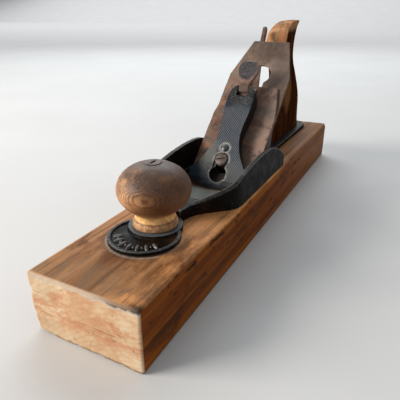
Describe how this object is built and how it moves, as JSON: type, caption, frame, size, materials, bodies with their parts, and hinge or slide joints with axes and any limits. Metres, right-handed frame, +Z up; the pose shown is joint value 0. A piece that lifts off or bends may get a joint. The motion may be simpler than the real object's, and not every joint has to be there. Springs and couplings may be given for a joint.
{
  "type": "transitional bench plane",
  "caption": "Wooden-bottom jack plane with an iron top, round front knob, shaped rear tote, double iron, lever cap and screw depth adjuster.",
  "frame": {"origin": "on the sole, at the centre of the stock's length and width", "axes": "+Y from toe to heel along the stock, +Z up out of the sole, +X across the stock"},
  "size_m": [0.07, 0.381, 0.1511],
  "materials": {
    "stock_wood": "old beech, worn, oiled top and sides, pale end grain",
    "knob_wood": "turned beech with worn brown stain",
    "tote_wood": "beech with worn brown stain, edges worn pale",
    "japanned_iron": "black japanning worn to blue-grey iron on the edges",
    "dark_iron": "dark malleable iron",
    "dark_steel": "dulled, oxidised screws",
    "bare_steel": "worn bare steel",
    "rusty_steel": "steel with a thin even brown rust",
    "brass": "dull tarnished brass"
  },
  "bodies": {
    "plane": {"wood_body": "stock_wood", "top_casting": "japanned_iron", "casting_screws": "dark_steel", "front_knob": "knob_wood", "knob_bolt": "dark_steel", "tote": "tote_wood", "tote_rod": "bare_steel", "tote_nut": "brass", "tote_screw": "dark_steel", "frog": "japanned_iron", "frog_screws": "dark_steel", "adjusting_stud": "bare_steel", "yoke_pin": "bare_steel", "lateral_pivot": "dark_steel", "lever_cap_screw": "rusty_steel"},
    "nut_hub": {"adjusting_nut": "brass"},
    "nut_wheel": {"adjusting_wheel": "brass"},
    "yoke_body": {"yoke": "dark_iron"},
    "iron_carriage": {"cap_iron_screw": "dark_steel"},
    "irons": {"cutter": "rusty_steel", "cap_iron": "rusty_steel"},
    "lateral": {"lateral_lever": "rusty_steel", "lateral_roller": "bare_steel"},
    "lever_cap_body": {"lever_cap": "japanned_iron", "lever_cap_spring": "bare_steel", "spring_rivet": "bare_steel", "cam_pin": "bare_steel"},
    "cam": {"cam_lever": "rusty_steel"}
  },
  "joints": [
    {"name": "nut_travel", "type": "slide", "parent": "plane", "child": "nut_hub", "axis": [0, 0.9397, 0.342], "range_m": [-0.0041, 0.0014]},
    {"name": "nut_spin", "type": "hinge", "parent": "nut_hub", "child": "nut_wheel", "pos_m": [0, 0.02641, 0.05663], "axis": [0, 0.9397, 0.342], "range_deg": [-480, 1400]},
    {"name": "yoke_swing", "type": "hinge", "parent": "plane", "child": "yoke_body", "pos_m": [0, 0.0206, 0.0726], "axis": [1, 0, 0], "range_deg": [-14, 4.9]},
    {"name": "depth_slide", "type": "slide", "parent": "plane", "child": "iron_carriage", "axis": [0, 0.7071, 0.7071], "range_m": [-0.0011, 0.0031]},
    {"name": "lateral_swing", "type": "hinge", "parent": "plane", "child": "lateral", "pos_m": [0, 0.02352, 0.09122], "axis": [0, -0.7071, 0.7071], "range_deg": [-17, 3]},
    {"name": "cutter_skew", "type": "hinge", "parent": "iron_carriage", "child": "irons", "pos_m": [0, -0.03376, 0.03394], "axis": [0, -0.7071, 0.7071], "range_deg": [-0.5, 2.7]},
    {"name": "cap_release", "type": "slide", "parent": "plane", "child": "lever_cap_body", "axis": [0, 0.7071, 0.7071], "range_m": [0, 0.0115]},
    {"name": "cam_flip", "type": "hinge", "parent": "lever_cap_body", "child": "cam", "pos_m": [0, 0.01362, 0.09899], "axis": [1, 0, 0], "range_deg": [0, 95]}
  ],
  "couplings": [
    {"joint": "nut_spin", "follows": "nut_travel", "rad_per_m": -5938.6},
    {"joint": "yoke_swing", "follows": "nut_travel", "rad_per_m": 58.824},
    {"joint": "depth_slide", "follows": "nut_travel", "ratio": -0.72788},
    {"joint": "cutter_skew", "follows": "lateral_swing", "ratio": -0.15714}
  ]
}
